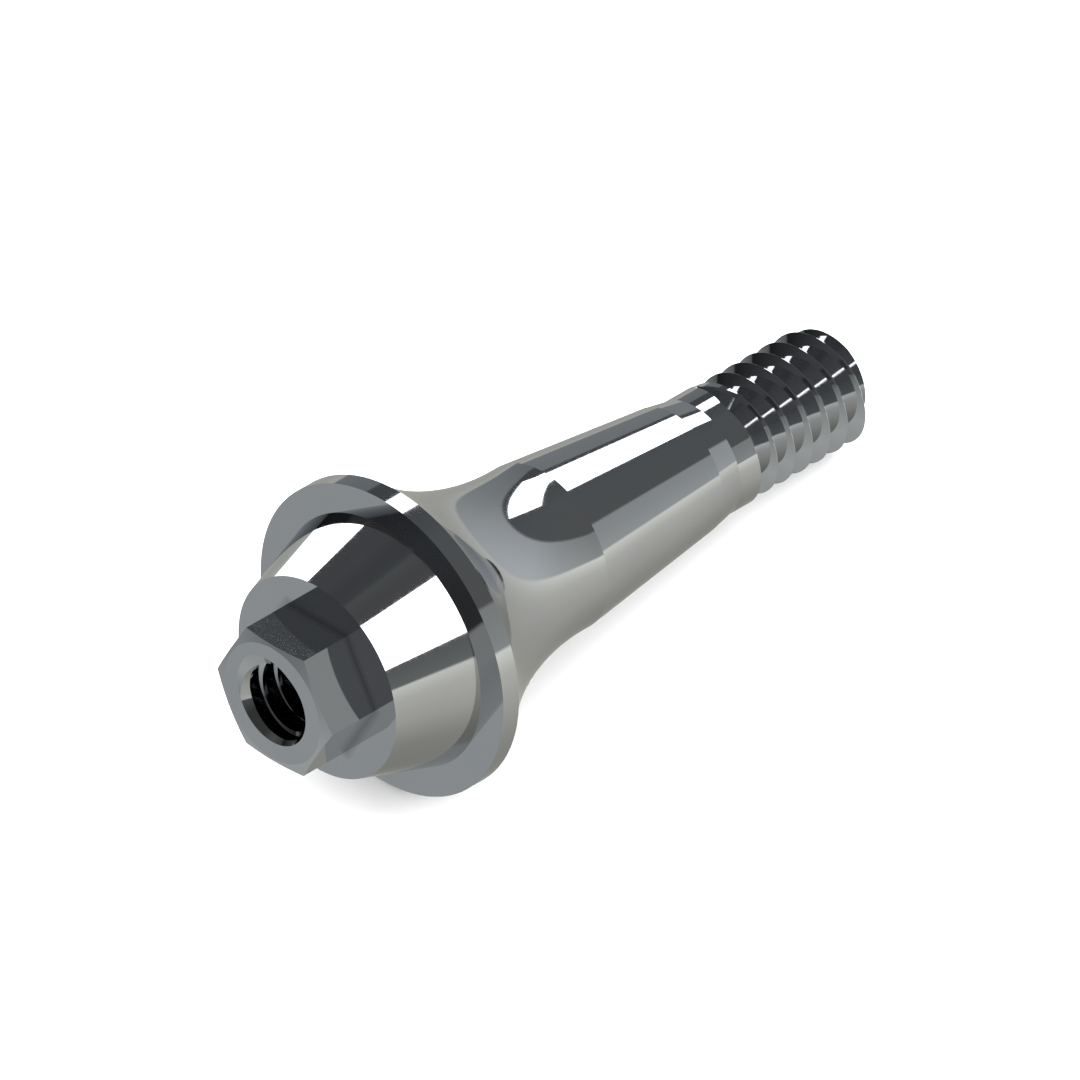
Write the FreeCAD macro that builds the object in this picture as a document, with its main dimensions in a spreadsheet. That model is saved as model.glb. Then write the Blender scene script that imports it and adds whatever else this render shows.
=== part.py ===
import FreeCAD, Part
import math
import os
import Sketcher
from enum import IntEnum

# A straight, one-piece dental abutment, turned from one bar. Lengths are in millimetres, angles in degrees.
# The local X axis runs from the hexagon's front face to the end of the implant thread, and every station
# is a distance along it from that face.
SIZES = {
    # hexagonal driver head
    "HexAcrossFlats": 2.0,
    "HexLength": 0.9,
    "HexFaceDiameter": 1.9,
    "HexChamferAngle": 15.0,
    # hole for the prosthetic screw: an M1.4 tap drill with a countersunk mouth
    "BoreDiameter": 1.075,
    "BoreDepth": 4.2,
    "BoreTipAngle": 118.0,
    "CountersinkDiameter": 1.38,
    "CountersinkAngle": 90.0,
    # cone that seats the restoration, and the flange at its foot
    "ConeTopDiameter": 3.16,
    "ConeFootDiameter": 3.96,
    "FlangeStation": 2.2,
    "FlangeDiameter": 4.87,
    "FlangeRimWidth": 0.31,
    # concave flare below the flange, and the collar that it runs into
    "FlareRadius": 4.05,
    "CollarDiameter": 2.61,
    "CollarEndStation": 5.43,
    # two tapers that seat in the implant, and the neck behind them
    "TaperKneeStation": 8.05,
    "TaperKneeDiameter": 2.0,
    "TaperEndStation": 8.47,
    "NeckDiameter": 1.84,
    # implant thread, M1.8 x 0.35, cut as a deep 60 degree V
    "ThreadStation": 8.975,
    "ThreadDiameter": 1.8,
    "ThreadPitch": 0.35,
    "ThreadCrest": 0.03,
    "ThreadDepth": 0.25,
    "ThreadAngle": 60.0,
    "EndChamfer": 0.113,
    "OverallLength": 11.2,
    # how far each cutter reaches outside the bar
    "CutterClearance": 0.05,
    # turn of the resting part about its own axis
    "RestRoll": -10.5,
}

SHEET = "Sizes"
NODE = "abutment"
HEX_SIDES = 6


class Point(IntEnum):
    """How a sketch numbers the points of an edge."""

    START = 1
    END = 2
    CENTRE = 3


# the sketch's own origin, as the start of its level axis
ORIGIN_POINT = (-1, Point.START)


class Size:
    """A number together with the spreadsheet expression that it comes from."""

    def __init__(self, value, text):
        self.value = value
        self.text = text

    def combine(self, sign, other, value):
        """Size made from this one and another size or a plain number."""
        text = other.text if isinstance(other, Size) else str(other)
        return Size(value, f"({self.text} {sign} {text})")

    def __add__(self, other):
        return self.combine("+", other, self.value + number(other))

    def __sub__(self, other):
        return self.combine("-", other, self.value - number(other))

    def __mul__(self, other):
        return self.combine("*", other, self.value * number(other))

    def __truediv__(self, other):
        return self.combine("/", other, self.value / number(other))

    def __neg__(self):
        return Size(-self.value, f"(-1 * {self.text})")


def number(item):
    """Plain number of a size, or the number itself."""
    return item.value if isinstance(item, Size) else item


def constant(value):
    """Number that no size changes."""
    return Size(value, str(value))


def size(alias):
    """Size that the sheet holds under an alias."""
    return Size(SIZES[alias], f"{SHEET}.{alias}")


ZERO = constant(0.0)


def sine(angle):
    """Sine of an angle in degrees."""
    return Size(math.sin(math.radians(number(angle))), f"sin({angle.text})")


def cosine(angle):
    """Cosine of an angle in degrees."""
    return Size(math.cos(math.radians(number(angle))), f"cos({angle.text})")


def tangent(angle):
    """Tangent of an angle in degrees."""
    return Size(math.tan(math.radians(number(angle))), f"tan({angle.text})")


def square_root(item):
    """Square root of a size."""
    return Size(math.sqrt(number(item)), f"sqrt({item.text})")


def arctangent(ratio):
    """Angle in degrees whose tangent is the ratio."""
    return Size(math.degrees(math.atan(number(ratio))), f"(atan({ratio.text}) / 1 deg)")


def make_sheet(doc):
    """Fill the spreadsheet, one size to a row, and name each value."""
    sheet = doc.addObject("Spreadsheet::Sheet", SHEET)
    for row, (alias, value) in enumerate(SIZES.items(), start=1):
        sheet.set(f"A{row}", alias)
        sheet.set(f"B{row}", str(value))
        sheet.setAlias(f"B{row}", alias)
    doc.recompute()


def origin_item(body, role):
    """Plane or axis of the body's own origin."""
    return next(item for item in body.Origin.OriginFeatures if item.Role == role)


def new_sketch(body, name, role):
    """Empty sketch on one of the body's origin planes."""
    sketch = body.newObject("Sketcher::SketchObject", name)
    sketch.AttachmentSupport = [(origin_item(body, role), "")]
    sketch.MapMode = "FlatFace"
    return sketch


def dimension(sketch, kind, references, length):
    """Add a dimension to the sketch and tie it to the sheet."""
    index = sketch.addConstraint(Sketcher.Constraint(kind, *references, length.value))
    sketch.setExpression(f"Constraints[{index}]", length.text)


def flat_vector(point):
    """Vector in a sketch's plane to a point given as two sizes."""
    return FreeCAD.Vector(number(point[0]), number(point[1]), 0)


def hollow_arc(start, end, radius):
    """Arc from start to end that lies level at its end and is hollow towards the outside."""
    centre = FreeCAD.Vector(end.x, end.y + radius, 0)
    start_angle = math.atan2(start.y - centre.y, start.x - centre.x)
    return Part.ArcOfCircle(Part.Circle(centre, FreeCAD.Vector(0, 0, 1), radius), start_angle, -math.pi / 2)


def closed_outline(sketch, points, arcs=None):
    """Closed outline with every corner tied to the sheet. An arc leaves each corner numbered in arcs."""
    arcs = arcs or {}
    edges = []
    for index, (point, following) in enumerate(zip(points, points[1:] + points[:1])):
        start, end = flat_vector(point), flat_vector(following)
        if index in arcs:
            edge = hollow_arc(start, end, arcs[index].value)
        else:
            edge = Part.LineSegment(start, end)
        edges.append(sketch.addGeometry(edge, False))
    for edge, following in zip(edges, edges[1:] + edges[:1]):
        sketch.addConstraint(Sketcher.Constraint("Coincident", edge, Point.END, following, Point.START))
    for edge, point in zip(edges, points):
        dimension(sketch, "DistanceX", (*ORIGIN_POINT, edge, Point.START), point[0])
        dimension(sketch, "DistanceY", (*ORIGIN_POINT, edge, Point.START), point[1])
    for index, radius in arcs.items():
        dimension(sketch, "Radius", (edges[index],), radius)


def radius_of(alias):
    """Half of a diameter from the sheet."""
    return size(alias) / 2


def hex_corner_radius():
    """Distance from the axis to the hexagon's corners."""
    return radius_of("HexAcrossFlats") / cosine(constant(180 / HEX_SIDES))


def rim_back_station():
    """Station where the flange's rim ends and the flare starts."""
    return size("FlangeStation") + size("FlangeRimWidth")


def chamfer_station():
    """Station where the thread's end chamfer starts."""
    return size("OverallLength") - size("EndChamfer")


def turned_bar(body):
    """Outside of the part as it leaves the lathe: half its section, turned about the axis."""
    corner_radius = hex_corner_radius()
    hex_chamfer = (corner_radius - radius_of("HexFaceDiameter")) * tangent(size("HexChamferAngle"))
    flare_drop = radius_of("FlangeDiameter") - radius_of("CollarDiameter")
    flare_run = square_root(flare_drop * (size("FlareRadius") * 2 - flare_drop))
    rim_back = (rim_back_station(), radius_of("FlangeDiameter"))
    points = [
        (ZERO, ZERO),
        (ZERO, radius_of("HexFaceDiameter")),
        (hex_chamfer, corner_radius),
        (size("HexLength"), corner_radius),
        (size("HexLength"), radius_of("ConeTopDiameter")),
        (size("FlangeStation"), radius_of("ConeFootDiameter")),
        (size("FlangeStation"), radius_of("FlangeDiameter")),
        rim_back,
        (rim_back_station() + flare_run, radius_of("CollarDiameter")),
        (size("CollarEndStation"), radius_of("CollarDiameter")),
        (size("TaperKneeStation"), radius_of("TaperKneeDiameter")),
        (size("TaperEndStation"), radius_of("NeckDiameter")),
        (size("ThreadStation"), radius_of("NeckDiameter")),
        (size("ThreadStation"), radius_of("ThreadDiameter")),
        (chamfer_station(), radius_of("ThreadDiameter")),
        (size("OverallLength"), radius_of("ThreadDiameter") - size("EndChamfer")),
        (size("OverallLength"), ZERO),
    ]
    section = new_sketch(body, "TurnedSection", "XY_Plane")
    closed_outline(section, points, {points.index(rim_back): size("FlareRadius")})

    bar = body.newObject("PartDesign::Revolution", "TurnedBar")
    bar.Profile = section
    bar.ReferenceAxis = (section, ["H_Axis"])
    bar.Angle = 360


def milled_hexagon(body):
    """Six flats, milled off the head as far as the top of the cone."""
    corner_radius = hex_corner_radius()
    outline = new_sketch(body, "HexagonOutline", "YZ_Plane")
    corners = []
    for index in range(HEX_SIDES):
        turn = constant(index * 360 / HEX_SIDES)
        corners.append((corner_radius * cosine(turn), corner_radius * sine(turn)))
    closed_outline(outline, corners)
    swept = Part.Circle(FreeCAD.Vector(0, 0, 0), FreeCAD.Vector(0, 0, 1), 2 * corner_radius.value)
    circle = outline.addGeometry(swept, False)
    outline.addConstraint(Sketcher.Constraint("Coincident", circle, Point.CENTRE, *ORIGIN_POINT))
    dimension(outline, "Radius", (circle,), corner_radius + size("CutterClearance"))

    flats = body.newObject("PartDesign::Pocket", "HexagonFlats")
    flats.Profile = outline
    flats.Reversed = True
    flats.setExpression("Length", size("HexLength").text)


def drilled_bore(body):
    """Blind hole for the prosthetic screw, with its countersink and the drill's point."""
    countersink_depth = (radius_of("CountersinkDiameter") - radius_of("BoreDiameter")) / tangent(
        size("CountersinkAngle") / 2
    )
    point_depth = radius_of("BoreDiameter") / tangent(size("BoreTipAngle") / 2)
    points = [
        (ZERO, ZERO),
        (ZERO, radius_of("CountersinkDiameter")),
        (countersink_depth, radius_of("BoreDiameter")),
        (size("BoreDepth"), radius_of("BoreDiameter")),
        (size("BoreDepth") + point_depth, ZERO),
    ]
    section = new_sketch(body, "BoreSection", "XY_Plane")
    closed_outline(section, points)

    bore = body.newObject("PartDesign::Groove", "Bore")
    bore.Profile = section
    bore.ReferenceAxis = (section, ["H_Axis"])
    bore.Angle = 360


def implant_thread(body):
    """Right-hand helical groove: a deep V with a narrow flat root, which leaves a narrow crest."""
    half_angle = size("ThreadAngle") / 2
    crest_radius = radius_of("ThreadDiameter")
    half_mouth = (size("ThreadPitch") - size("ThreadCrest")) / 2
    half_root = half_mouth - size("ThreadDepth") * tangent(half_angle)
    root_radius = crest_radius - size("ThreadDepth")
    outside = radius_of("NeckDiameter") + size("CutterClearance")
    middle = size("ThreadStation")
    points = [
        (middle - half_root, root_radius),
        (middle + half_root, root_radius),
        (middle + half_mouth, crest_radius),
        (middle + half_mouth, outside),
        (middle - half_mouth, outside),
        (middle - half_mouth, crest_radius),
    ]
    section = new_sketch(body, "ThreadGroove", "XZ_Plane")
    closed_outline(section, points)

    thread = body.newObject("PartDesign::SubtractiveHelix", "ImplantThread")
    thread.Profile = section
    thread.ReferenceAxis = (section, ["H_Axis"])
    thread.Mode = "pitch-height-angle"
    thread.LeftHanded = False
    thread.setExpression("Pitch", size("ThreadPitch").text)
    run = size("OverallLength") - size("ThreadStation") + size("ThreadPitch")
    thread.setExpression("Height", run.text)


def rest_placement(body):
    """Lay the part down on the rim of its flange and the end of its thread, as it comes to rest."""
    drop = radius_of("FlangeDiameter") - radius_of("ThreadDiameter")
    tilt = arctangent(drop / (chamfer_station() - rim_back_station()))
    height = rim_back_station() * sine(tilt) + radius_of("FlangeDiameter") * cosine(tilt)
    front = -radius_of("HexFaceDiameter") * sine(tilt)
    back_radius = radius_of("ThreadDiameter") - size("EndChamfer")
    back = size("OverallLength") * cosine(tilt) + back_radius * sine(tilt)
    middle = (front + back) / 2
    point = f"create(<<vector>>; {(-middle).text}; 0; {height.text})"
    turn = f"create(<<rotation>>; 0; {tilt.text}; {size('RestRoll').text})"
    body.setExpression("Placement", f"create(<<placement>>; {point}; {turn})")


def check(doc, body):
    """Stop if anything failed to build, or if the part isn't one sound solid."""
    for item in doc.Objects:
        failed = [state for state in item.State if state in ("Invalid", "Error")]
        if failed:
            raise RuntimeError(f"{item.Label} is {failed}")
    shape = body.Shape
    if shape.isNull() or not shape.isValid() or len(shape.Solids) != 1:
        raise RuntimeError(f"{body.Label} is not one valid solid")


def main():
    """Build the part, check it and write it out."""
    doc = FreeCAD.newDocument("Abutment")
    make_sheet(doc)
    body = doc.addObject("PartDesign::Body", "Abutment")
    body.Label = NODE
    for feature in (turned_bar, milled_hexagon, drilled_bore, implant_thread):
        feature(body)
        doc.recompute()
    rest_placement(body)
    doc.recompute()
    check(doc, body)
    os.makedirs("parts", exist_ok=True)
    body.Shape.exportStep(f"parts/{NODE}.step")


main()
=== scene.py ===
"""Polished dental abutment, lying on a pale studio floor.

The abutment is turned, milled, drilled, tapped and threaded here as a machinist would do it: a bar is
brought to its outline, and then each cutter takes its share away. It is worked in millimetres, with the
bar's axis along X and every station measured from the head's front face, and it is reduced to metres
when it is laid down.
"""

import logging
import math
from dataclasses import dataclass, field
from enum import Enum

import bpy
from mathutils import Matrix, Vector


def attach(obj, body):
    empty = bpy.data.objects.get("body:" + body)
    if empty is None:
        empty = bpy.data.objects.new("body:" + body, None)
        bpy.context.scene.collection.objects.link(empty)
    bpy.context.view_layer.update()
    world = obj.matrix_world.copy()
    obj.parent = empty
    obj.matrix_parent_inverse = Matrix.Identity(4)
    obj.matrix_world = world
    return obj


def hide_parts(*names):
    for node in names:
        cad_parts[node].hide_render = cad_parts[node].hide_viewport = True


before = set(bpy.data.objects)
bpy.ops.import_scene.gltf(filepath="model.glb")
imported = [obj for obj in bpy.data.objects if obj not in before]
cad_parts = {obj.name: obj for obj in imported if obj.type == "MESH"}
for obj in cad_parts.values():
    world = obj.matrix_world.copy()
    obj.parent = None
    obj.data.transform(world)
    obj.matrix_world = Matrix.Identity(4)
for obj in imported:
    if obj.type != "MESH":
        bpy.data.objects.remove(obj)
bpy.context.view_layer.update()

log = logging.getLogger("abutment")
logging.basicConfig(level=logging.INFO, format="%(name)s: %(message)s")

NODE = "abutment"
BODY = "root"

# Sizes that more than one class works with, in millimetres
HEXAGON_FLATS = 2.0
HEXAGON_LENGTH = 0.9
HEXAGON_FACE_RADIUS = 0.95
FLANGE_STATION = 2.2
FLANGE_RADIUS = 2.435
RIM_WIDTH = 0.31
THREAD_STATION = 8.975
THREAD_RADIUS = 0.9
END_CHAMFER = 0.113
LENGTH = 11.2

MILLIMETRE = 0.001
MILLIMETRES_PER_METRE = 1000.0
ALONG_X = (0.0, math.radians(90.0), 0.0)
MERGE_GAP = 1e-5
SECTION_CORNERS = 4
ISOMETRIC_DIP = math.asin(math.sqrt(1.0 / 3.0))

Colour = tuple[float, float, float, float]
Ring = tuple[float, float]
Span = tuple[float, float]
Socket = bpy.types.NodeSocket


class Blend(Enum):
    """How two colours are put together."""

    MIX = "MIX"
    ADD = "ADD"
    MULTIPLY = "MULTIPLY"


def grey(level: float) -> Colour:
    """Neutral colour of a given brightness."""
    return (level, level, level, 1.0)


def deselect_all() -> None:
    """Leave nothing selected and nothing in edit mode."""
    if bpy.context.object and bpy.context.object.mode != "OBJECT":
        bpy.ops.object.mode_set(mode="OBJECT")
    bpy.ops.object.select_all(action="DESELECT")


def pick(piece: bpy.types.Object) -> None:
    """Select one object alone and make it the active one.

    Args:
        piece: The object to select.
    """
    deselect_all()
    piece.select_set(True)
    bpy.context.view_layer.objects.active = piece


def pick_points(piece: bpy.types.Object, chosen: list[int]) -> None:
    """Select some of a mesh's points alone, and leave the mesh in edit mode.

    Args:
        piece: The object, in object mode.
        chosen: Numbers of the points.
    """
    bpy.ops.object.mode_set(mode="EDIT")
    bpy.ops.mesh.select_mode(type="VERT")
    bpy.ops.mesh.select_all(action="DESELECT")
    bpy.ops.object.mode_set(mode="OBJECT")
    for index in chosen:
        piece.data.vertices[index].select = True
    bpy.ops.object.mode_set(mode="EDIT")


def cut(stock: bpy.types.Object, tool: bpy.types.Object) -> None:
    """Take one solid away from another, and delete it.

    Args:
        stock: The solid that is worked on.
        tool: The solid that is taken away from it.
    """
    pick(stock)
    modifier = stock.modifiers.new("Cut", "BOOLEAN")
    modifier.operation = "DIFFERENCE"
    modifier.solver = "EXACT"
    modifier.object = tool
    bpy.ops.object.modifier_apply(modifier=modifier.name)
    pick(tool)
    bpy.ops.object.delete()


def close_and_orient(piece: bpy.types.Object) -> None:
    """Merge doubled points and turn every face outwards.

    Args:
        piece: A closed mesh, in millimetres.
    """
    pick(piece)
    bpy.ops.object.mode_set(mode="EDIT")
    bpy.ops.mesh.select_all(action="SELECT")
    bpy.ops.mesh.remove_doubles(threshold=MERGE_GAP)
    bpy.ops.mesh.normals_make_consistent(inside=False)
    bpy.ops.object.mode_set(mode="OBJECT")


def turned_solid(name: str, outline: list[Ring], sides: int) -> bpy.types.Object:
    """Turn a solid about the X axis: a disc drawn out from station to station.

    Args:
        name: Name of the new object.
        outline: Station and radius of each ring, from one end to the other.
        sides: Number of sides of each ring.

    Returns:
        The closed solid.
    """
    deselect_all()
    station, radius = outline[0]
    bpy.ops.mesh.primitive_circle_add(
        vertices=sides,
        radius=radius,
        fill_type="NGON",
        location=(station, 0.0, 0.0),
        rotation=ALONG_X,
    )
    piece = bpy.context.object
    piece.name = name
    bpy.ops.object.transform_apply(location=True, rotation=True, scale=True)
    bpy.ops.object.mode_set(mode="EDIT")
    bpy.ops.mesh.select_all(action="SELECT")
    for next_station, next_radius in outline[1:]:
        bpy.ops.mesh.extrude_region_move(
            TRANSFORM_OT_translate={"value": (next_station - station, 0.0, 0.0)}
        )
        growth = next_radius / radius
        bpy.ops.transform.resize(
            value=(1.0, growth, growth), center_override=(next_station, 0.0, 0.0)
        )
        station, radius = next_station, next_radius
    bpy.ops.object.mode_set(mode="OBJECT")
    close_and_orient(piece)
    return piece


def prism(name: str, sides: int, radius: float, start: float, end: float) -> bpy.types.Object:
    """Straight prism about the X axis, with one corner towards Y.

    Args:
        name: Name of the new object.
        sides: Number of sides.
        radius: Distance from the axis to the corners.
        start: Station of its first end.
        end: Station of its other end.

    Returns:
        The closed prism.
    """
    deselect_all()
    bpy.ops.mesh.primitive_cylinder_add(
        vertices=sides,
        radius=radius,
        depth=end - start,
        location=((start + end) / 2.0, 0.0, 0.0),
        rotation=ALONG_X,
    )
    piece = bpy.context.object
    piece.name = name
    bpy.ops.object.transform_apply(location=True, rotation=True, scale=True)
    return piece


class NodeBoard:
    """A node tree, with short ways to add its nodes and join them."""

    def __init__(self, tree: bpy.types.NodeTree) -> None:
        """Take over a tree that already has its output and shader."""
        self.tree = tree

    def add(self, kind: str, label: str) -> bpy.types.Node:
        """Add one node.

        Args:
            kind: Blender's name for the kind of node.
            label: What the node stands for.

        Returns:
            The new node.
        """
        node = self.tree.nodes.new(kind)
        node.label = label
        return node

    def join(self, source: Socket, target: Socket) -> None:
        """Link two sockets."""
        self.tree.links.new(source, target)

    def calculate(
        self,
        operation: str,
        label: str,
        first: Socket,
        second: Socket | float = 0.0,
        tolerance: float = 0.0,
    ) -> Socket:
        """Put one or two numbers through a sum.

        Args:
            operation: Blender's name for the sum.
            label: What its result stands for.
            first: The first number.
            second: The second number, linked or plain.
            tolerance: How near two numbers are that a comparison calls equal.

        Returns:
            The result.
        """
        node = self.add("ShaderNodeMath", label)
        node.operation = operation
        node.inputs[2].default_value = tolerance
        self.join(first, node.inputs[0])
        if isinstance(second, float):
            node.inputs[1].default_value = second
        else:
            self.join(second, node.inputs[1])
        return node.outputs[0]

    def split(self, label: str, place: Socket) -> tuple[Socket, ...]:
        """Take a vector apart.

        Args:
            label: What its numbers stand for.
            place: The vector.

        Returns:
            Its three numbers.
        """
        node = self.add("ShaderNodeSeparateXYZ", label)
        self.join(place, node.inputs["Vector"])
        return tuple(node.outputs)

    def noise(
        self, label: str, place: Socket, scale: float, detail: float, dimensions: str = "3D"
    ) -> Socket:
        """Uneven pattern, from 0 to 1.

        Args:
            label: What the pattern stands for.
            place: The point that it is read at.
            scale: Its waves in one unit of length.
            detail: How many finer waves it has.
            dimensions: Blender's name for the space that it fills.

        Returns:
            The pattern's strength.
        """
        node = self.add("ShaderNodeTexNoise", label)
        node.noise_dimensions = dimensions
        node.inputs["Scale"].default_value = scale
        node.inputs["Detail"].default_value = detail
        self.join(place, node.inputs["Vector"])
        return node.outputs["Fac"]

    def rescale(self, label: str, value: Socket, before: Span, after: Span = (0.0, 1.0)) -> Socket:
        """Carry a number from one range to another, and hold it at the ends.

        Args:
            label: What the result stands for.
            value: The number.
            before: Its range.
            after: The range that it is carried to.

        Returns:
            The number in its new range.
        """
        node = self.add("ShaderNodeMapRange", label)
        self.join(value, node.inputs["Value"])
        node.inputs["From Min"].default_value, node.inputs["From Max"].default_value = before
        node.inputs["To Min"].default_value, node.inputs["To Max"].default_value = after
        return node.outputs["Result"]

    def shades(self, label: str, value: Socket, stops: dict[float, Colour]) -> Socket:
        """Choose a colour by a number, with even passages from stop to stop.

        Args:
            label: What the colour stands for.
            value: The number.
            stops: Colours at given values of the number, in rising order.

        Returns:
            The colour.
        """
        values = list(stops)
        low, high = values[0], values[-1]
        node = self.add("ShaderNodeValToRGB", label)
        self.join(self.rescale(label, value, (low, high)), node.inputs["Fac"])
        ramp = node.color_ramp
        ramp.interpolation = "CARDINAL"
        ramp.elements[0].color = stops[low]
        ramp.elements[1].color = stops[high]
        for stop in values[1:-1]:
            ramp.elements.new((stop - low) / (high - low)).color = stops[stop]
        return node.outputs["Color"]

    def mix(
        self,
        label: str,
        blend: Blend,
        share: Socket | float,
        first: Socket,
        second: Socket | Colour,
    ) -> Socket:
        """Put two colours together.

        Args:
            label: What the result stands for.
            blend: How they are put together.
            share: Share of the second colour, linked or plain.
            first: The first colour.
            second: The second colour, linked or plain.

        Returns:
            The result.
        """
        node = self.add("ShaderNodeMix", label)
        node.data_type = "RGBA"
        node.blend_type = blend.value
        sockets = {socket.identifier: socket for socket in (*node.inputs, *node.outputs)}
        if isinstance(share, float):
            sockets["Factor_Float"].default_value = share
        else:
            self.join(share, sockets["Factor_Float"])
        self.join(first, sockets["A_Color"])
        if isinstance(second, tuple):
            sockets["B_Color"].default_value = second
        else:
            self.join(second, sockets["B_Color"])
        return sockets["Result_Color"]


@dataclass
class Blank:
    """The turned bar: everything that the lathe leaves, from the head to the tip."""

    hexagon_corner_radius: float = HEXAGON_FLATS / math.sqrt(3.0)
    hexagon_face_radius: float = HEXAGON_FACE_RADIUS
    hexagon_chamfer_angle: float = 15.0
    hexagon_length: float = HEXAGON_LENGTH
    cone_top_radius: float = 1.58
    cone_foot_radius: float = 1.98
    flange_station: float = FLANGE_STATION
    flange_radius: float = FLANGE_RADIUS
    rim_width: float = RIM_WIDTH
    flare_radius: float = 4.05
    collar_radius: float = 1.305
    collar_end: float = 5.43
    knee_station: float = 8.05
    knee_radius: float = 1.0
    taper_end: float = 8.47
    neck_radius: float = 0.92
    thread_station: float = THREAD_STATION
    thread_radius: float = THREAD_RADIUS
    end_chamfer: float = END_CHAMFER
    length: float = LENGTH
    sides: int = 288
    flare_steps: int = 56

    def flare(self) -> list[Ring]:
        """Rings of the concave flare between the rim and the collar.

        Returns:
            Station and radius of each ring.
        """
        drop = self.flange_radius - self.collar_radius
        sweep = math.acos(1.0 - drop / self.flare_radius)
        foot = self.flange_station + self.rim_width + self.flare_radius * math.sin(sweep)
        rings = []
        for step in range(self.flare_steps + 1):
            angle = sweep * (1.0 - step / self.flare_steps)
            radius = self.collar_radius + self.flare_radius * (1.0 - math.cos(angle))
            rings.append((foot - self.flare_radius * math.sin(angle), radius))
        return rings

    def outline(self) -> list[Ring]:
        """Half of the bar's section.

        Returns:
            Station and radius of each ring.
        """
        corner_drop = self.hexagon_corner_radius - self.hexagon_face_radius
        chamfer = corner_drop * math.tan(math.radians(self.hexagon_chamfer_angle))
        return [
            (0.0, self.hexagon_face_radius),
            (chamfer, self.hexagon_corner_radius),
            (self.hexagon_length, self.hexagon_corner_radius),
            (self.hexagon_length, self.cone_top_radius),
            (self.flange_station, self.cone_foot_radius),
            (self.flange_station, self.flange_radius),
            *self.flare(),
            (self.collar_end, self.collar_radius),
            (self.knee_station, self.knee_radius),
            (self.taper_end, self.neck_radius),
            (self.thread_station, self.neck_radius),
            (self.thread_station, self.thread_radius),
            (self.length - self.end_chamfer, self.thread_radius),
            (self.length, self.thread_radius - self.end_chamfer),
        ]

    def build(self) -> bpy.types.Object:
        """Turn the bar.

        Returns:
            The bar as it leaves the lathe.
        """
        return turned_solid("Abutment", self.outline(), self.sides)


@dataclass
class DriverHead:
    """Six flats for the driver, milled off the head as far as the cone."""

    across_flats: float = HEXAGON_FLATS
    length: float = HEXAGON_LENGTH
    swept_radius: float = 1.3
    swept_sides: int = 96
    overrun: float = 0.2

    def mill(self, bar: bpy.types.Object) -> None:
        """Mill the flats: a sweep with a hexagonal core left standing is taken off the bar.

        Args:
            bar: The turned bar.
        """
        swept = prism(
            "MillSweep", self.swept_sides, self.swept_radius, -self.overrun, self.length
        )
        corner_radius = self.across_flats / math.sqrt(3.0)
        core_end = self.length + self.overrun
        core = prism("HexagonCore", 6, corner_radius, -2.0 * self.overrun, core_end)
        cut(swept, core)
        cut(bar, swept)


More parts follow.
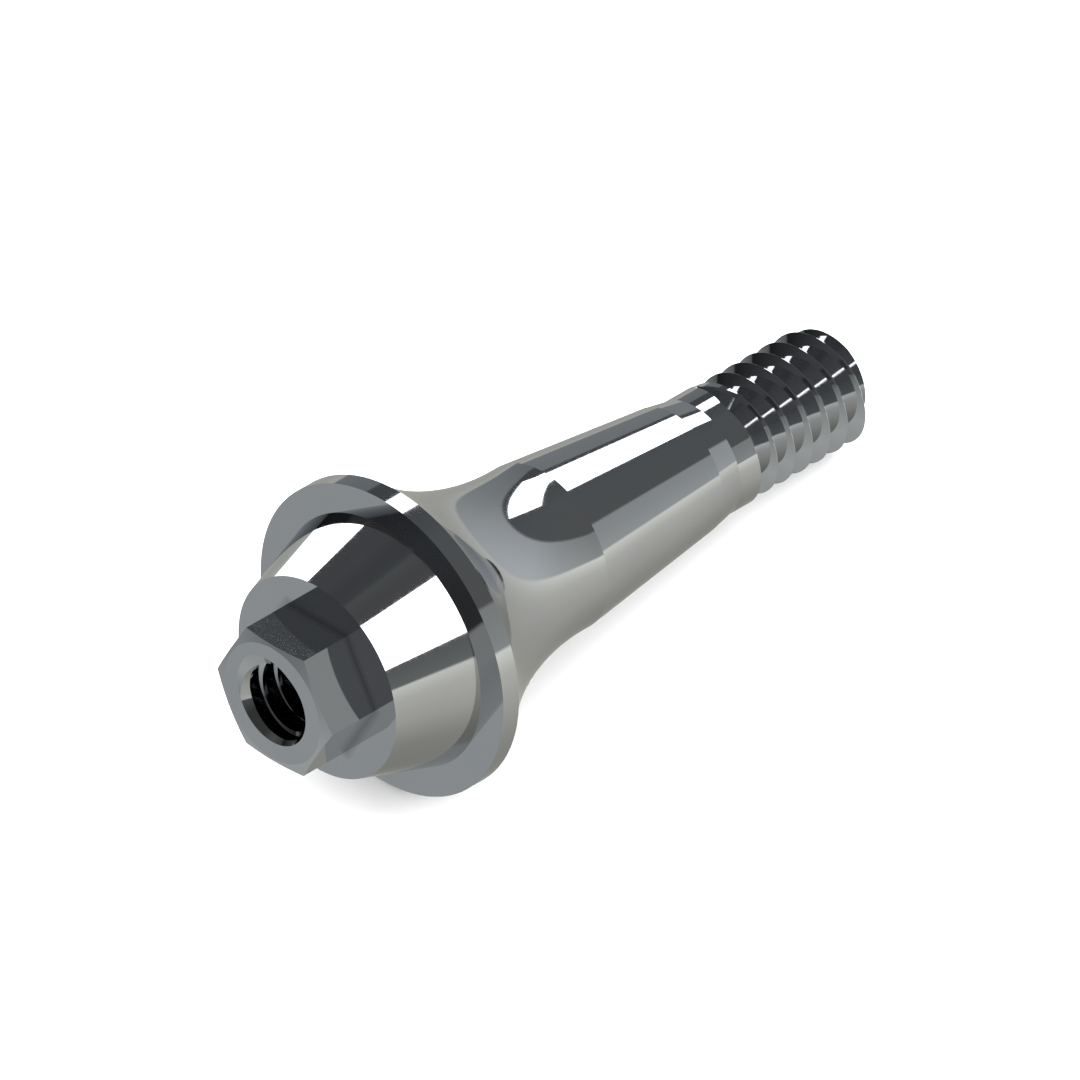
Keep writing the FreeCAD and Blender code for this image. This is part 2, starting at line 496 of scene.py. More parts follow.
@dataclass
class Groove:
    """A V groove swept along a helix, as a thread's cutter takes it out.

    The section is a four-sided one: a narrow root, and flanks that run on past the mouth to the
    reach. Angles are in degrees, and one turn has a given number of steps.
    """

    name: str
    start: float
    start_angle: float
    pitch: float
    turns: float
    mouth_width: float
    root_width: float
    mouth_radius: float
    root_radius: float
    reach_radius: float
    steps: int = 160
    feed_angle: float = 0.0
    feed_lift: float = 0.0

    def reach_width(self) -> float:
        """Width of the section at the radius where its flanks end."""
        slope = (self.mouth_width - self.root_width) / (self.mouth_radius - self.root_radius)
        return self.mouth_width + slope * (self.reach_radius - self.mouth_radius)

    def build(self) -> bpy.types.Object:
        """Sweep the section along its helix and close both ends.

        Returns:
            The cutter as one closed solid.
        """
        cutter = self.section()
        screw = cutter.modifiers.new("Sweep", "SCREW")
        screw.axis = "X"
        screw.angle = math.radians(360.0) * self.turns
        screw.screw_offset = self.pitch * self.turns
        screw.steps = screw.render_steps = round(self.steps * self.turns)
        screw.iterations = 1
        bpy.ops.object.modifier_apply(modifier=screw.name)
        self.feed_in(cutter)
        self.cap(cutter)
        return cutter

    def section(self) -> bpy.types.Object:
        """Draw the section: a square brought to the groove's width at its root and at its reach.

        Returns:
            The section as a closed line, turned to where the groove starts.
        """
        deselect_all()
        height = self.reach_radius - self.root_radius
        middle = (self.start, (self.reach_radius + self.root_radius) / 2.0, 0.0)
        bpy.ops.mesh.primitive_plane_add(size=1.0, location=middle)
        section = bpy.context.object
        section.name = self.name
        section.scale = (self.root_width, height, 1.0)
        bpy.ops.object.transform_apply(location=True, rotation=True, scale=True)
        reach = [
            vertex.index
            for vertex in section.data.vertices
            if abs(vertex.co.y - self.reach_radius) < abs(vertex.co.y - self.root_radius)
        ]
        pick_points(section, reach)
        growth = self.reach_width() / self.root_width
        bpy.ops.transform.resize(
            value=(growth, 1.0, 1.0), center_override=(self.start, self.reach_radius, 0.0)
        )
        bpy.ops.mesh.select_all(action="SELECT")
        bpy.ops.mesh.delete(type="ONLY_FACE")
        bpy.ops.object.mode_set(mode="OBJECT")
        section.rotation_euler.x = math.radians(self.start_angle)
        bpy.ops.object.transform_apply(location=False, rotation=True, scale=False)
        return section

    def feed_in(self, cutter: bpy.types.Object) -> None:
        """Lift the first part of the sweep off the work, as a tool that is fed in.

        Args:
            cutter: The swept cutter.
        """
        rings = round(self.feed_angle / 360.0 * self.steps)
        mean_radius = (self.root_radius + self.reach_radius) / 2.0
        for ring in range(rings):
            growth = 1.0 + self.feed_lift * (1.0 - ring / rings) / mean_radius
            first = ring * SECTION_CORNERS
            pick_points(cutter, list(range(first, first + SECTION_CORNERS)))
            bpy.ops.transform.resize(value=(1.0, growth, growth), center_override=(0.0, 0.0, 0.0))
            bpy.ops.object.mode_set(mode="OBJECT")

    def cap(self, cutter: bpy.types.Object) -> None:
        """Fill the two open ends and turn the faces outwards.

        Args:
            cutter: The swept cutter.
        """
        pick(cutter)
        bpy.ops.object.mode_set(mode="EDIT")
        bpy.ops.mesh.select_mode(type="EDGE")
        bpy.ops.mesh.select_all(action="DESELECT")
        bpy.ops.mesh.select_non_manifold()
        bpy.ops.mesh.fill_holes(sides=0)
        bpy.ops.object.mode_set(mode="OBJECT")
        close_and_orient(cutter)


@dataclass
class ScrewHole:
    """Blind hole for the prosthetic screw, with its countersink, drill point and fine thread."""

    radius: float = 0.565
    depth: float = 4.2
    tip_angle: float = 118.0
    tip_blunting: float = 0.01
    countersink_radius: float = 0.668
    countersink_angle: float = 84.0
    lead_in: float = 0.2
    sides: int = 192
    thread_radius: float = 0.755
    thread_pitch: float = 0.3
    thread_root: float = 0.012
    thread_angle: float = 60.0
    thread_depth: float = 3.5
    thread_start: float = -0.3
    thread_start_angle: float = 50.8
    thread_overlap: float = 0.03
    thread_steps: int = 128

    def drill(self, bar: bpy.types.Object) -> None:
        """Drill and countersink the hole.

        Args:
            bar: The bar with its flats.
        """
        slope = math.tan(math.radians(self.countersink_angle / 2.0))
        sink = (self.countersink_radius - self.radius) / slope
        point = self.radius / math.tan(math.radians(self.tip_angle / 2.0))
        outline = [
            (-self.lead_in, self.countersink_radius + self.lead_in * slope),
            (sink, self.radius),
            (self.depth, self.radius),
            (self.depth + point * (1.0 - self.tip_blunting), self.radius * self.tip_blunting),
        ]
        cut(bar, turned_solid("Drill", outline, self.sides))

    def tap(self, bar: bpy.types.Object) -> None:
        """Cut the fine thread into the hole's wall.

        Args:
            bar: The bar with its drilled hole.
        """
        flank = math.tan(math.radians(self.thread_angle / 2.0))
        groove = Groove(
            name="Tap",
            start=self.thread_start,
            start_angle=self.thread_start_angle,
            pitch=self.thread_pitch,
            turns=(self.thread_depth - self.thread_start) / self.thread_pitch,
            mouth_width=self.thread_root + 2.0 * (self.thread_radius - self.radius) * flank,
            root_width=self.thread_root,
            mouth_radius=self.radius,
            root_radius=self.thread_radius,
            reach_radius=self.radius - self.thread_overlap,
            steps=self.thread_steps,
        )
        cut(bar, groove.build())


@dataclass
class ImplantThread:
    """Deep right-hand V thread that fixes the abutment in its implant."""

    start: float = THREAD_STATION
    end: float = 11.55
    radius: float = THREAD_RADIUS
    pitch: float = 0.35
    crest: float = 0.008
    depth: float = 0.237
    angle: float = 64.0
    reach_radius: float = 0.97
    lead_angle: float = 28.0
    feed_angle: float = 40.0
    feed_clearance: float = 0.03

    def cut_into(self, bar: bpy.types.Object) -> None:
        """Cut the thread from the neck out through the end.

        Args:
            bar: The bar with everything else done.
        """
        mouth = self.pitch - self.crest
        root = mouth - 2.0 * self.depth * math.tan(math.radians(self.angle / 2.0))
        groove = Groove(
            name="ThreadCutter",
            start=self.start - self.pitch * self.lead_angle / 360.0,
            start_angle=90.0 - self.lead_angle,
            pitch=self.pitch,
            turns=(self.end - self.start) / self.pitch,
            mouth_width=mouth,
            root_width=root,
            mouth_radius=self.radius,
            root_radius=self.radius - self.depth,
            reach_radius=self.reach_radius,
            feed_angle=self.feed_angle,
            feed_lift=self.depth + self.feed_clearance,
        )
        cut(bar, groove.build())


@dataclass
class Rest:
    """How the finished part lies: on the flange's rim and the last crest of its thread."""

    rim_station: float = FLANGE_STATION + RIM_WIDTH
    rim_radius: float = FLANGE_RADIUS
    crest_station: float = LENGTH - END_CHAMFER
    crest_radius: float = THREAD_RADIUS
    face_radius: float = HEXAGON_FACE_RADIUS
    end_station: float = LENGTH
    end_radius: float = THREAD_RADIUS - END_CHAMFER
    roll: float = -10.5

    def tilt(self) -> float:
        """Angle in radians between the axis and the floor."""
        drop = self.rim_radius - self.crest_radius
        return math.atan(drop / (self.crest_station - self.rim_station))

    def turn(self) -> Matrix:
        """Rotation from the bar's own axes to the resting part's."""
        roll = Matrix.Rotation(math.radians(self.roll), 4, "X")
        return Matrix.Rotation(self.tilt(), 4, "Y") @ roll

    def offset(self) -> Vector:
        """Place of the head's centre in millimetres, with the origin under the middle of the part.

        Returns:
            The vector from the origin to the centre of the head's front face.
        """
        tilt = self.tilt()
        height = self.rim_station * math.sin(tilt) + self.rim_radius * math.cos(tilt)
        front = -self.face_radius * math.sin(tilt)
        back = self.end_station * math.cos(tilt) + self.end_radius * math.sin(tilt)
        return Vector((-(front + back) / 2.0, 0.0, height))

    def lay_down(self, piece: bpy.types.Object) -> None:
        """Reduce the part to its true size and lay it down.

        Args:
            piece: The finished part, on the X axis and in millimetres.
        """
        pick(piece)
        reduction = Matrix.Scale(MILLIMETRE, 4)
        piece.matrix_world = reduction @ Matrix.Translation(self.offset()) @ self.turn()
        bpy.ops.object.transform_apply(location=True, rotation=True, scale=True)


@dataclass(frozen=True)
class PolishedTitanium:
    """Finish of the part: turned titanium, polished nearly to a mirror.

    Faint tool marks run round the axis, on the turned lengths and on the faces alike, the tone varies
    a little from place to place, and the shoulder is darkened close to the hexagon's flats by painted
    shade in the inner corner.
    """

    light_tone: Colour = (0.632, 0.64, 0.662, 1.0)
    dark_tone: Colour = (0.606, 0.616, 0.642, 1.0)
    edge_tint: Colour = (0.8, 0.8, 0.8, 1.0)
    best_polish: float = 0.04
    worst_polish: float = 0.065
    marks_per_mm: float = 11.0
    mark_detail: float = 3.0
    mark_height: float = 4e-8
    patches_per_mm: float = 0.6
    patch_detail: float = 1.0
    noise_span: Span = (0.3, 0.7)
    flat_distance: float = HEXAGON_FLATS / 2.0
    flat_bearings: tuple[float, float, float] = (30.0, 90.0, 150.0)
    shoulder_station: float = HEXAGON_LENGTH
    shoulder_depth: float = 0.003
    # Painted shade in the inner corner between the shoulder and the flats: how far it reaches, and its
    # factors at the flats and at that reach
    corner_reach: float = 0.13
    painted_corner_shade: Span = (0.68, 1.0)

    def make(self, rest: Rest) -> bpy.types.Material:
        """Build the material.

        Args:
            rest: The part's place, which the tool marks follow.

        Returns:
            The finished material.
        """
        material = bpy.data.materials.new("PolishedTitanium")
        material.use_nodes = True
        board = NodeBoard(material.node_tree)
        shader = material.node_tree.nodes["Principled BSDF"]
        shader.inputs["Metallic"].default_value = 1.0
        shader.inputs["Specular Tint"].default_value = self.edge_tint

        place = self.place_on_bar(board, rest)
        marks = self.tool_marks(board, place)
        patches = board.noise("patches", place, self.patches_per_mm, self.patch_detail)

        low, high = self.noise_span
        tones = board.shades("tone", patches, {low: self.dark_tone, high: self.light_tone})
        # Painted shade: the tone is darkened on the shoulder next to the hexagon's flats
        shade = self.corner(board, place)
        shaded = board.mix("shaded tone", Blend.MULTIPLY, 1.0, tones, shade)
        board.join(shaded, shader.inputs["Base Color"])
        polish_span = (self.best_polish, self.worst_polish)
        polish = board.rescale("polish", marks, self.noise_span, polish_span)
        board.join(polish, shader.inputs["Roughness"])

        bump = board.add("ShaderNodeBump", "tool marks")
        bump.inputs["Strength"].default_value = 1.0
        bump.inputs["Distance"].default_value = self.mark_height
        board.join(marks, bump.inputs["Height"])
        board.join(bump.outputs["Normal"], shader.inputs["Normal"])
        return material

    def place_on_bar(self, board: NodeBoard, rest: Rest) -> Socket:
        """Place of a point in the bar's own axes, in millimetres.

        Args:
            board: The material's nodes.
            rest: The part's place.

        Returns:
            The point, with the station along X.
        """
        back = rest.turn().inverted()
        coordinates = board.add("ShaderNodeTexCoord", "place in the scene")
        mapping = board.add("ShaderNodeMapping", "place on the bar")
        mapping.inputs["Scale"].default_value = (MILLIMETRES_PER_METRE,) * 3
        mapping.inputs["Rotation"].default_value = back.to_euler()
        mapping.inputs["Location"].default_value = -(back @ rest.offset())
        board.join(coordinates.outputs["Object"], mapping.inputs["Vector"])
        return mapping.outputs["Vector"]

    def tool_marks(self, board: NodeBoard, place: Socket) -> Socket:
        """Uneven rings that depend only on the station and on the distance from the axis.

        Args:
            board: The material's nodes.
            place: The point on the bar.

        Returns:
            Height of the marks, from 0 to 1.
        """
        station, across, up = board.split("station and distances", place)
        squares = board.calculate(
            "ADD",
            "radius squared",
            board.calculate("MULTIPLY", "across squared", across, across),
            board.calculate("MULTIPLY", "up squared", up, up),
        )
        radius = board.calculate("SQRT", "radius", squares)
        ring = board.add("ShaderNodeCombineXYZ", "ring")
        board.join(station, ring.inputs["X"])
        board.join(radius, ring.inputs["Y"])
        place_on_ring = ring.outputs["Vector"]
        return board.noise("tool marks", place_on_ring, self.marks_per_mm, self.mark_detail, "2D")

    def corner(self, board: NodeBoard, place: Socket) -> Socket:
        """Painted shade on the shoulder close to the hexagon's flats, darkest in the inner corner.

        Args:
            board: The material's nodes.
            place: The point on the bar.

        Returns:
            The painted shade factor: 1 away from the corner.
        """
        reaches = []
        for bearing in self.flat_bearings:
            along = board.add("ShaderNodeVectorMath", "distance along a flat's normal")
            along.operation = "DOT_PRODUCT"
            angle = math.radians(bearing)
            along.inputs[1].default_value = (0.0, math.cos(angle), math.sin(angle))
            board.join(place, along.inputs[0])
            reaches.append(board.calculate("ABSOLUTE", "distance", along.outputs["Value"]))
        farthest = board.calculate("MAXIMUM", "farther of two", reaches[0], reaches[1])
        farthest = board.calculate("MAXIMUM", "farthest flat", farthest, reaches[2])
        # Painted shade: darkest at the flats, fading to none at the corner's reach
        end = self.flat_distance + self.corner_reach
        shade = board.rescale("shade", farthest, (self.flat_distance, end), self.painted_corner_shade)

        station = board.split("station", place)[0]
        on_shoulder = board.calculate(
            "COMPARE", "on the shoulder", station, self.shoulder_station, self.shoulder_depth
        )
        change = board.calculate("SUBTRACT", "shade less one", shade, 1.0)
        kept = board.calculate("MULTIPLY", "change on the shoulder", change, on_shoulder)
        return board.calculate("ADD", "corner shade", kept, 1.0)


@dataclass
class Abutment:
    """The whole part, from the turned bar to its place on the floor."""

    blank: Blank = field(default_factory=Blank)
    head: DriverHead = field(default_factory=DriverHead)
    hole: ScrewHole = field(default_factory=ScrewHole)
    thread: ImplantThread = field(default_factory=ImplantThread)
    rest: Rest = field(default_factory=Rest)
    finish: PolishedTitanium = field(default_factory=PolishedTitanium)
    smooth_angle: float = 3.0

    def build(self) -> bpy.types.Object:
        """Make the part, lay it down and dress it.

        Returns:
            The finished part.
        """
        part = self.blank.build()
        log.info("bar turned, %d faces", len(part.data.polygons))
        operations = {
            "flats milled": self.head.mill,
            "hole drilled": self.hole.drill,
            "hole tapped": self.hole.tap,
            "thread cut": self.thread.cut_into,
        }
        for outcome, work_on in operations.items():
            work_on(part)
            log.info("%s, %d faces", outcome, len(part.data.polygons))
        close_and_orient(part)
        self.rest.lay_down(part)
        bpy.ops.object.shade_smooth_by_angle(angle=math.radians(self.smooth_angle))
        part.data.materials.clear()
        part.data.materials.append(self.finish.make(self.rest))
        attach(part, BODY)
        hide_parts(NODE)
        return part


@dataclass
class Viewpoint:
    """The photograph's view: parallel, with the axis foreshortened as in an isometric drawing.

    It is framed by one point of the axis: its station on the bar in millimetres, and its place in the
    photograph in pixels from the upper left corner.
    """

    rest: Rest
    near_angle: float = 134.8
    slant: float = 30.0
    axis_point_station: float = 0.0566
    axis_point: tuple[float, float] = (275.06, 701.75)
    frame_side: float = 1080.0
    pixels_per_mm: float = 70.55
    distance: float = 60.0
    clip: Span = (0.001, 2.0)

    def directions(self) -> tuple[Vector, Vector, Vector]:
        """Directions of the picture in the scene.

        Returns:
            The picture's right, the picture's down, and the way the camera looks.
        """
        near = math.radians(self.near_angle)
        side = math.radians(self.near_angle + 90.0)
        axis = Vector((1.0, 0.0, 0.0))
        towards = Vector((0.0, math.cos(near), math.sin(near)))
        across = Vector((0.0, math.cos(side), math.sin(side)))
        along = axis * math.cos(ISOMETRIC_DIP) + towards * math.sin(ISOMETRIC_DIP)
        forward = axis * math.sin(ISOMETRIC_DIP) - towards * math.cos(ISOMETRIC_DIP)
        slant = math.radians(self.slant)
        right = along * math.cos(slant) + across * math.sin(slant)
        down = across * math.cos(slant) - along * math.sin(slant)
        turn = self.rest.turn().to_3x3()
        return turn @ right, turn @ down, turn @ forward

    def place_camera(self) -> None:
        """Set up the camera."""
        right, down, forward = self.directions()
        station = Vector((self.axis_point_station, 0.0, 0.0))
        point = self.rest.offset() + self.rest.turn().to_3x3() @ station
        middle = self.frame_side / 2.0
        point += right * ((middle - self.axis_point[0]) / self.pixels_per_mm)
        point += down * ((middle - self.axis_point[1]) / self.pixels_per_mm)
        axes = Matrix((right, -down, -forward)).transposed()
        deselect_all()
        bpy.ops.object.camera_add(
            location=(point - forward * self.distance) * MILLIMETRE, rotation=axes.to_euler()
        )
        camera = bpy.context.object
        camera.data.type = "ORTHO"
        camera.data.ortho_scale = self.frame_side / self.pixels_per_mm * MILLIMETRE
        camera.data.clip_start, camera.data.clip_end = self.clip
        bpy.context.scene.camera = camera


@dataclass(frozen=True)
class StudioAxes:
    """The studio's own upright axes, which lean a little over the lying part.

    Azimuth is measured from the way the camera looks, to the right, and elevation from level.
    """

    right: Vector
    level: Vector
    up: Vector

    @classmethod
    def for_view(cls, view: Viewpoint) -> "StudioAxes":
        """Find the axes from the view, which looks down on the studio as an isometric drawing does.

        Args:
            view: The photograph's view.

        Returns:
            The studio's axes.
        """
        right, down, forward = view.directions()
        level = forward * math.cos(ISOMETRIC_DIP) - down * math.sin(ISOMETRIC_DIP)
        up = -down * math.cos(ISOMETRIC_DIP) - forward * math.sin(ISOMETRIC_DIP)
        return cls(right, level, up)

    def direction(self, azimuth: float, elevation: float) -> Vector:
        """Direction in the scene.

        Args:
            azimuth: Its azimuth in degrees.
            elevation: Its elevation in degrees.

        Returns:
            The direction, of length 1.
        """
        around, above = math.radians(azimuth), math.radians(elevation)
        level = self.right * math.sin(around) + self.level * math.cos(around)
        return level * math.cos(above) + self.up * math.sin(above)

    def turn(self) -> Matrix:
        """Rotation from the scene's axes to the studio's."""
        return Matrix((self.right, self.level, self.up))


@dataclass(frozen=True)
class Softbox:
    """A flat, evenly lit lamp that faces the part.

    Its width and height are the angles that it fills, in degrees, and its distance is in metres.
    """

    name: str
    azimuth: float
    elevation: float
    width: float
    height: float
    roll: float = 0.0
    radiance: float = 3.0
    distance: float = 0.4
    mirrored: bool = True

    def hang(self, axes: StudioAxes) -> None:
        """Hang the lamp.

        Args:
            axes: The studio's axes.
        """
        outward = axes.direction(self.azimuth, self.elevation)
        level = axes.direction(self.azimuth + 90.0, 0.0)
        above = axes.direction(self.azimuth, self.elevation + 90.0)
        roll = math.radians(self.roll)
        along = level * math.cos(roll) + above * math.sin(roll)
        facing = Matrix((along, outward.cross(along), outward)).transposed()
        deselect_all()
        bpy.ops.object.light_add(
            type="AREA", location=outward * self.distance, rotation=facing.to_euler()
        )
        lamp = bpy.context.object
        lamp.name = self.name
        lamp.data.shape = "RECTANGLE"
        lamp.data.size = self.side(self.width)
        lamp.data.size_y = self.side(self.height)
        lamp.data.energy = self.radiance * math.pi * lamp.data.size * lamp.data.size_y
        lamp.visible_glossy = self.mirrored

    def side(self, angle: float) -> float:
        """Length of a side that fills an angle, in metres."""
        return 2.0 * self.distance * math.tan(math.radians(angle / 2.0))


@dataclass(frozen=True)
class Surroundings:
    """What the polished metal mirrors: a pale table, a grey wall and a dark ceiling.

    Seen straight, and not in the metal, they are a plain white backdrop. Colours are brightness in
    linear light, at azimuths and elevations of the studio's axes, in degrees.
    """

    wall_top: float = 24.1
    table_edge: float = -1.8
    softness: float = 0.9
    backdrop: Colour = (1.0, 1.0, 1.0, 1.0)

    def hang(self, axes: StudioAxes) -> None:
        """Put the surroundings round the scene.

        Args:
            axes: The studio's axes.
        """
        world = bpy.data.worlds.new("Surroundings")
        world.use_nodes = True
        board = NodeBoard(world.node_tree)
        azimuth, elevation = self.bearings(board, axes)
        wall = self.wall(board, azimuth, elevation)
        above_table = self.step(board, "above the table", elevation, self.table_edge)
        above_wall = self.step(board, "above the wall", elevation, self.wall_top)
        table = self.table(board, azimuth, elevation)
        lower = board.mix("table and wall", Blend.MIX, above_table, table, wall)
        ceiling = self.ceiling(board, azimuth, elevation)
        all_round = board.mix("all round", Blend.MIX, above_wall, lower, ceiling)
        path = board.add("ShaderNodeLightPath", "seen or mirrored")
        seen = path.outputs["Is Camera Ray"]
        shown = board.mix("backdrop", Blend.MIX, seen, all_round, self.backdrop)
        background = world.node_tree.nodes["Background"]
        board.join(shown, background.inputs["Color"])
        bpy.context.scene.world = world

    def bearings(self, board: NodeBoard, axes: StudioAxes) -> tuple[Socket, Socket]:
        """Azimuth and elevation of a direction, in degrees.

        Args:
            board: The world's nodes.
            axes: The studio's axes.

        Returns:
            The azimuth, from -180 to 180, and the elevation.
        """
        coordinates = board.add("ShaderNodeTexCoord", "direction in the scene")
        mapping = board.add("ShaderNodeMapping", "direction in the studio")
        mapping.inputs["Rotation"].default_value = axes.turn().to_euler()
        board.join(coordinates.outputs["Generated"], mapping.inputs["Vector"])
        right, level, up = board.split("right, level and up", mapping.outputs["Vector"])
        around = board.calculate("ARCTAN2", "azimuth in radians", right, level)
        above = board.calculate("ARCSINE", "elevation in radians", up)
        return (
            board.calculate("DEGREES", "azimuth", around),
            board.calculate("DEGREES", "elevation", above),
        )

    def step(self, board: NodeBoard, label: str, elevation: Socket, edge: float) -> Socket:
        """Soft step from 0 to 1 where the elevation passes an edge.

        Args:
            board: The world's nodes.
            label: What the step stands for.
            elevation: The elevation.
            edge: Elevation of the edge.

        Returns:
            The step.
        """
        return board.rescale(label, elevation, (edge - self.softness, edge + self.softness))

    def table(self, board: NodeBoard, azimuth: Socket, elevation: Socket) -> Socket:
        """Beige table, darker the steeper it is looked down on, with a glow on its right.

        Args:
            board: The world's nodes.
            azimuth: The azimuth.
            elevation: The elevation.

        Returns:
            The table's colour.
        """
        front = board.shades(
            "table in front",
            elevation,
            {
                -90.0: (0.325, 0.325, 0.287, 1.0),
                -62.0: (0.335, 0.337, 0.302, 1.0),
                -40.0: (0.436, 0.436, 0.394, 1.0),
                -24.0: (0.482, 0.482, 0.445, 1.0),
                -10.0: (0.525, 0.53, 0.49, 1.0),
                0.0: (0.6, 0.61, 0.575, 1.0),
            },
        )
        behind = board.shades(
            "table behind",
            elevation,
            {
                -90.0: (0.385, 0.4, 0.395, 1.0),
                -72.0: (0.423, 0.436, 0.426, 1.0),
                -50.0: (0.465, 0.485, 0.475, 1.0),
                -30.0: (0.35, 0.37, 0.372, 1.0),
                -18.0: (0.28, 0.297, 0.303, 1.0),
                0.0: (0.114, 0.121, 0.122, 1.0),
            },
        )
        share = board.shades(
            "how far behind",
            azimuth,
            {
                -180.0: grey(0.0),
                -163.0: grey(0.2),
                -150.0: grey(0.9),
                -130.0: grey(1.0),
                -55.0: grey(1.0),
                -35.0: grey(0.0),
                180.0: grey(0.0),
            },
        )
        base = board.mix("table", Blend.MIX, share, front, behind)
        glow_around = board.shades(
            "glow by azimuth",
            azimuth,
            {
                -180.0: grey(0.0),
                0.0: grey(0.0),
                30.0: (0.12, 0.12, 0.108, 1.0),
                60.0: (0.5, 0.5, 0.45, 1.0),
                85.0: (0.86, 0.85, 0.76, 1.0),
                125.0: (1.02, 1.0, 0.89, 1.0),
                140.0: grey(0.0),
                180.0: grey(0.0),
            },
        )
        glow_below = board.shades(
            "glow by elevation",
            elevation,
            {
                -90.0: grey(0.0),
                -60.0: grey(0.0),
                -28.0: grey(0.07),
                -14.0: grey(0.14),
                -5.0: grey(0.28),
                0.0: grey(0.36),
            },
        )
        glow = board.mix("glow", Blend.MULTIPLY, 1.0, glow_around, glow_below)
        return board.mix("table with its glow", Blend.ADD, 1.0, base, glow)

    def wall(self, board: NodeBoard, azimuth: Socket, elevation: Socket) -> Socket:
        """Blue-grey wall, brightest on the right in front and darker towards its top.

        Args:
            board: The world's nodes.
            azimuth: The azimuth.
            elevation: The elevation.

        Returns:
            The wall's colour.
        """
        around = board.shades(
            "wall by azimuth",
            azimuth,
            {
                -180.0: (0.09, 0.094, 0.096, 1.0),
                -164.0: (0.046, 0.048, 0.049, 1.0),
                -132.0: (0.078, 0.082, 0.084, 1.0),
                -112.0: (0.07, 0.073, 0.075, 1.0),
                -86.0: (0.034, 0.036, 0.037, 1.0),
                -60.0: (0.036, 0.038, 0.038, 1.0),
                -15.0: (0.19, 0.205, 0.215, 1.0),
                20.0: (0.42, 0.445, 0.45, 1.0),
                55.0: (0.575, 0.605, 0.615, 1.0),
                80.0: (0.46, 0.485, 0.482, 1.0),
                100.0: (0.34, 0.357, 0.35, 1.0),
                112.0: (0.165, 0.178, 0.175, 1.0),
                130.0: (0.18, 0.19, 0.187, 1.0),
                140.0: (0.12, 0.125, 0.127, 1.0),
                168.0: (0.18, 0.187, 0.189, 1.0),
                180.0: (0.09, 0.094, 0.096, 1.0),
            },
        )
        fade = board.shades("wall by elevation", elevation, {0.0: grey(1.0), 24.0: grey(0.76)})
        return board.mix("wall", Blend.MULTIPLY, 1.0, around, fade)

    def ceiling(self, board: NodeBoard, azimuth: Socket, elevation: Socket) -> Socket:
        """Dark ceiling.

        Args:
            board: The world's nodes.
            azimuth: The azimuth.
            elevation: The elevation.

        Returns:
            The ceiling's colour.
        """
        around = board.shades(
            "ceiling by azimuth",
            azimuth,
            {
                -180.0: grey(0.05),
                -115.0: grey(0.055),
                -90.0: (0.091, 0.096, 0.097, 1.0),
                -65.0: grey(0.055),
                -40.0: (0.071, 0.074, 0.0765, 1.0),
                -15.0: (0.076, 0.081, 0.084, 1.0),
                8.0: (0.083, 0.088, 0.09, 1.0),
                40.0: (0.102, 0.109, 0.111, 1.0),
                60.0: (0.112, 0.119, 0.12, 1.0),
                130.0: grey(0.1),
                180.0: grey(0.05),
            },
        )
        fade = board.shades("ceiling by elevation", elevation, {62.0: grey(1.0), 76.0: grey(0.85)})
        return board.mix("ceiling", Blend.MULTIPLY, 1.0, around, fade)


@dataclass(frozen=True)
class PaleFloorFinish:
    """Finish of the floor: plain and matt."""

    light_tone: Colour = (0.9, 0.9, 0.9, 1.0)
    dark_tone: Colour = (0.88, 0.88, 0.88, 1.0)
    roughness: float = 0.9
    patches_per_metre: float = 12.0
    patch_detail: float = 2.0

    def make(self) -> bpy.types.Material:
        """Build the material.

        Returns:
            The finished material.
        """
        material = bpy.data.materials.new("PaleFloor")
        material.use_nodes = True
        board = NodeBoard(material.node_tree)
        shader = material.node_tree.nodes["Principled BSDF"]
        shader.inputs["Roughness"].default_value = self.roughness
        shader.inputs["Specular IOR Level"].default_value = 0.0
        coordinates = board.add("ShaderNodeTexCoord", "place on the floor")
        place = coordinates.outputs["Object"]
        patches = board.noise("patches", place, self.patches_per_metre, self.patch_detail)
        tones = board.shades("tone", patches, {0.0: self.dark_tone, 1.0: self.light_tone})
        board.join(tones, shader.inputs["Base Color"])
        return material


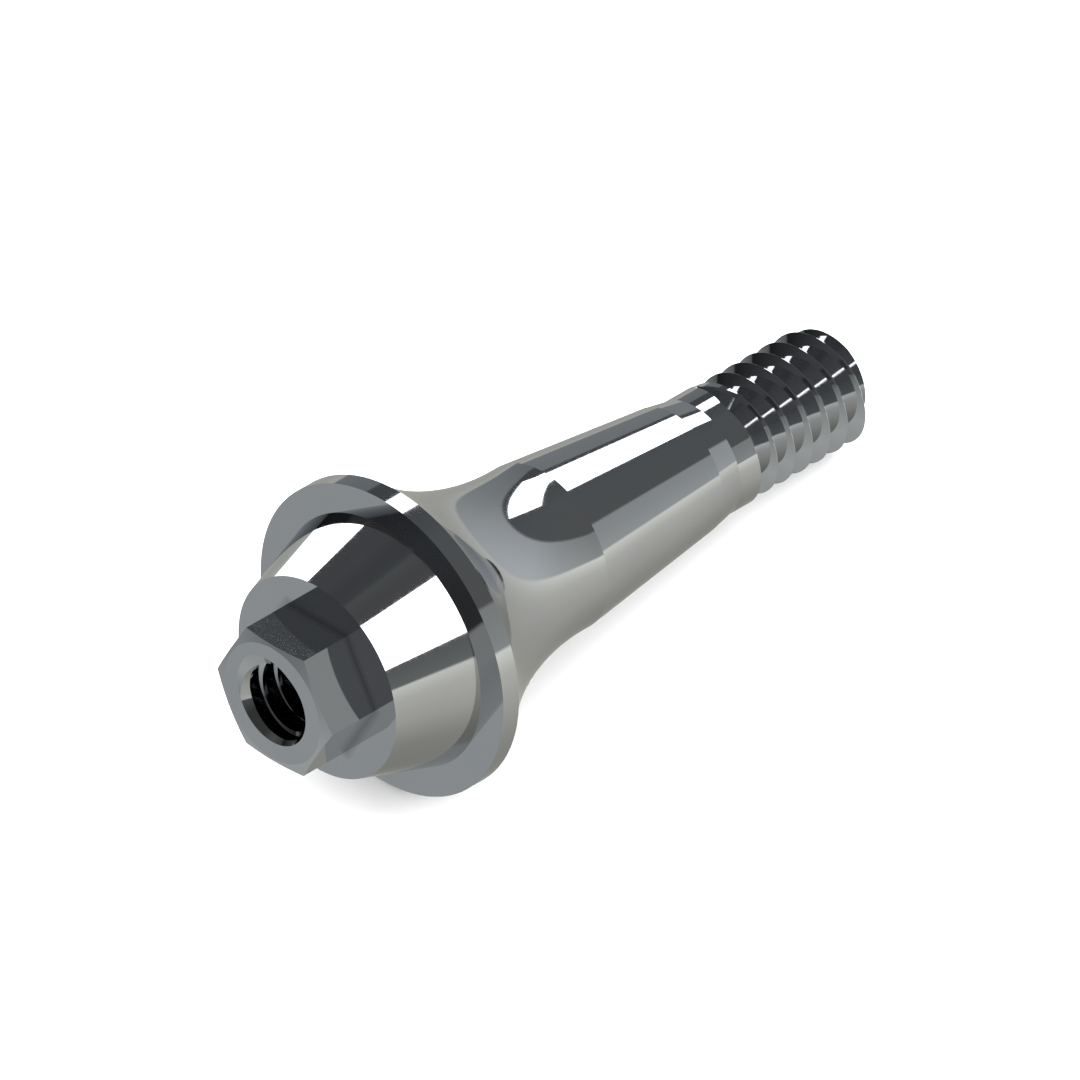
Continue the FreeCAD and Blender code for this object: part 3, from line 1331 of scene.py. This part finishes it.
@dataclass
class Studio:
    """Pale floor, soft lamps and surroundings."""

    axes: StudioAxes
    floor_radius: float = 0.4
    floor_sides: int = 96
    floor_finish: PaleFloorFinish = field(default_factory=PaleFloorFinish)
    surroundings: Surroundings = field(default_factory=Surroundings)
    lamps: tuple[Softbox, ...] = (
        Softbox("SoftboxFront", 19.1, 38.1, 28.0, 19.4, roll=-5.9),
        Softbox("StripRight", 135.5, 42.5, 16.0, 48.0),
        Softbox("StripLeft", -25.0, 20.0, 16.0, 43.0),
        Softbox("SoftboxLeft", -46.0, 37.5, 16.0, 17.0),
        Softbox("SpotRight", 102.0, 46.5, 11.0, 6.0),
    )
    overhead_radiance: float = 3.4
    overhead_angle: float = 116.0

    def set_up(self) -> None:
        """Lay the floor, hang the lamps and put the surroundings round them."""
        self.lay_floor()
        for lamp in self.lamps:
            lamp.hang(self.axes)
            log.info("lamp %s hung", lamp.name)
        self.overhead().hang(self.upright())
        self.surroundings.hang(self.axes)
        bpy.context.scene.view_settings.view_transform = "Standard"

    def lay_floor(self) -> None:
        """Lay the pale floor, which the metal doesn't mirror: it mirrors the table instead."""
        deselect_all()
        bpy.ops.mesh.primitive_circle_add(
            vertices=self.floor_sides,
            radius=self.floor_radius,
            fill_type="NGON",
            location=(0.0, 0.0, 0.0),
        )
        floor = bpy.context.object
        floor.name = "Floor"
        floor.data.materials.append(self.floor_finish.make())
        floor.visible_glossy = False

    def upright(self) -> StudioAxes:
        """Axes of the floor itself."""
        return StudioAxes(Vector((1.0, 0.0, 0.0)), Vector((0.0, 1.0, 0.0)), Vector((0.0, 0.0, 1.0)))

    def overhead(self) -> Softbox:
        """Large soft lamp straight above, which brightens the floor and isn't mirrored.

        Returns:
            The lamp, for the floor's own axes.
        """
        return Softbox(
            name="Overhead",
            azimuth=0.0,
            elevation=90.0,
            width=self.overhead_angle,
            height=self.overhead_angle,
            radiance=self.overhead_radiance,
            mirrored=False,
        )


def main() -> None:
    """Make the part and the studio round it."""
    abutment = Abutment()
    piece = abutment.build()
    log.info("%s finished, %d faces", piece.name, len(piece.data.polygons))
    view = Viewpoint(abutment.rest)
    view.place_camera()
    Studio(StudioAxes.for_view(view)).set_up()


if __name__ == "__main__":
    main()
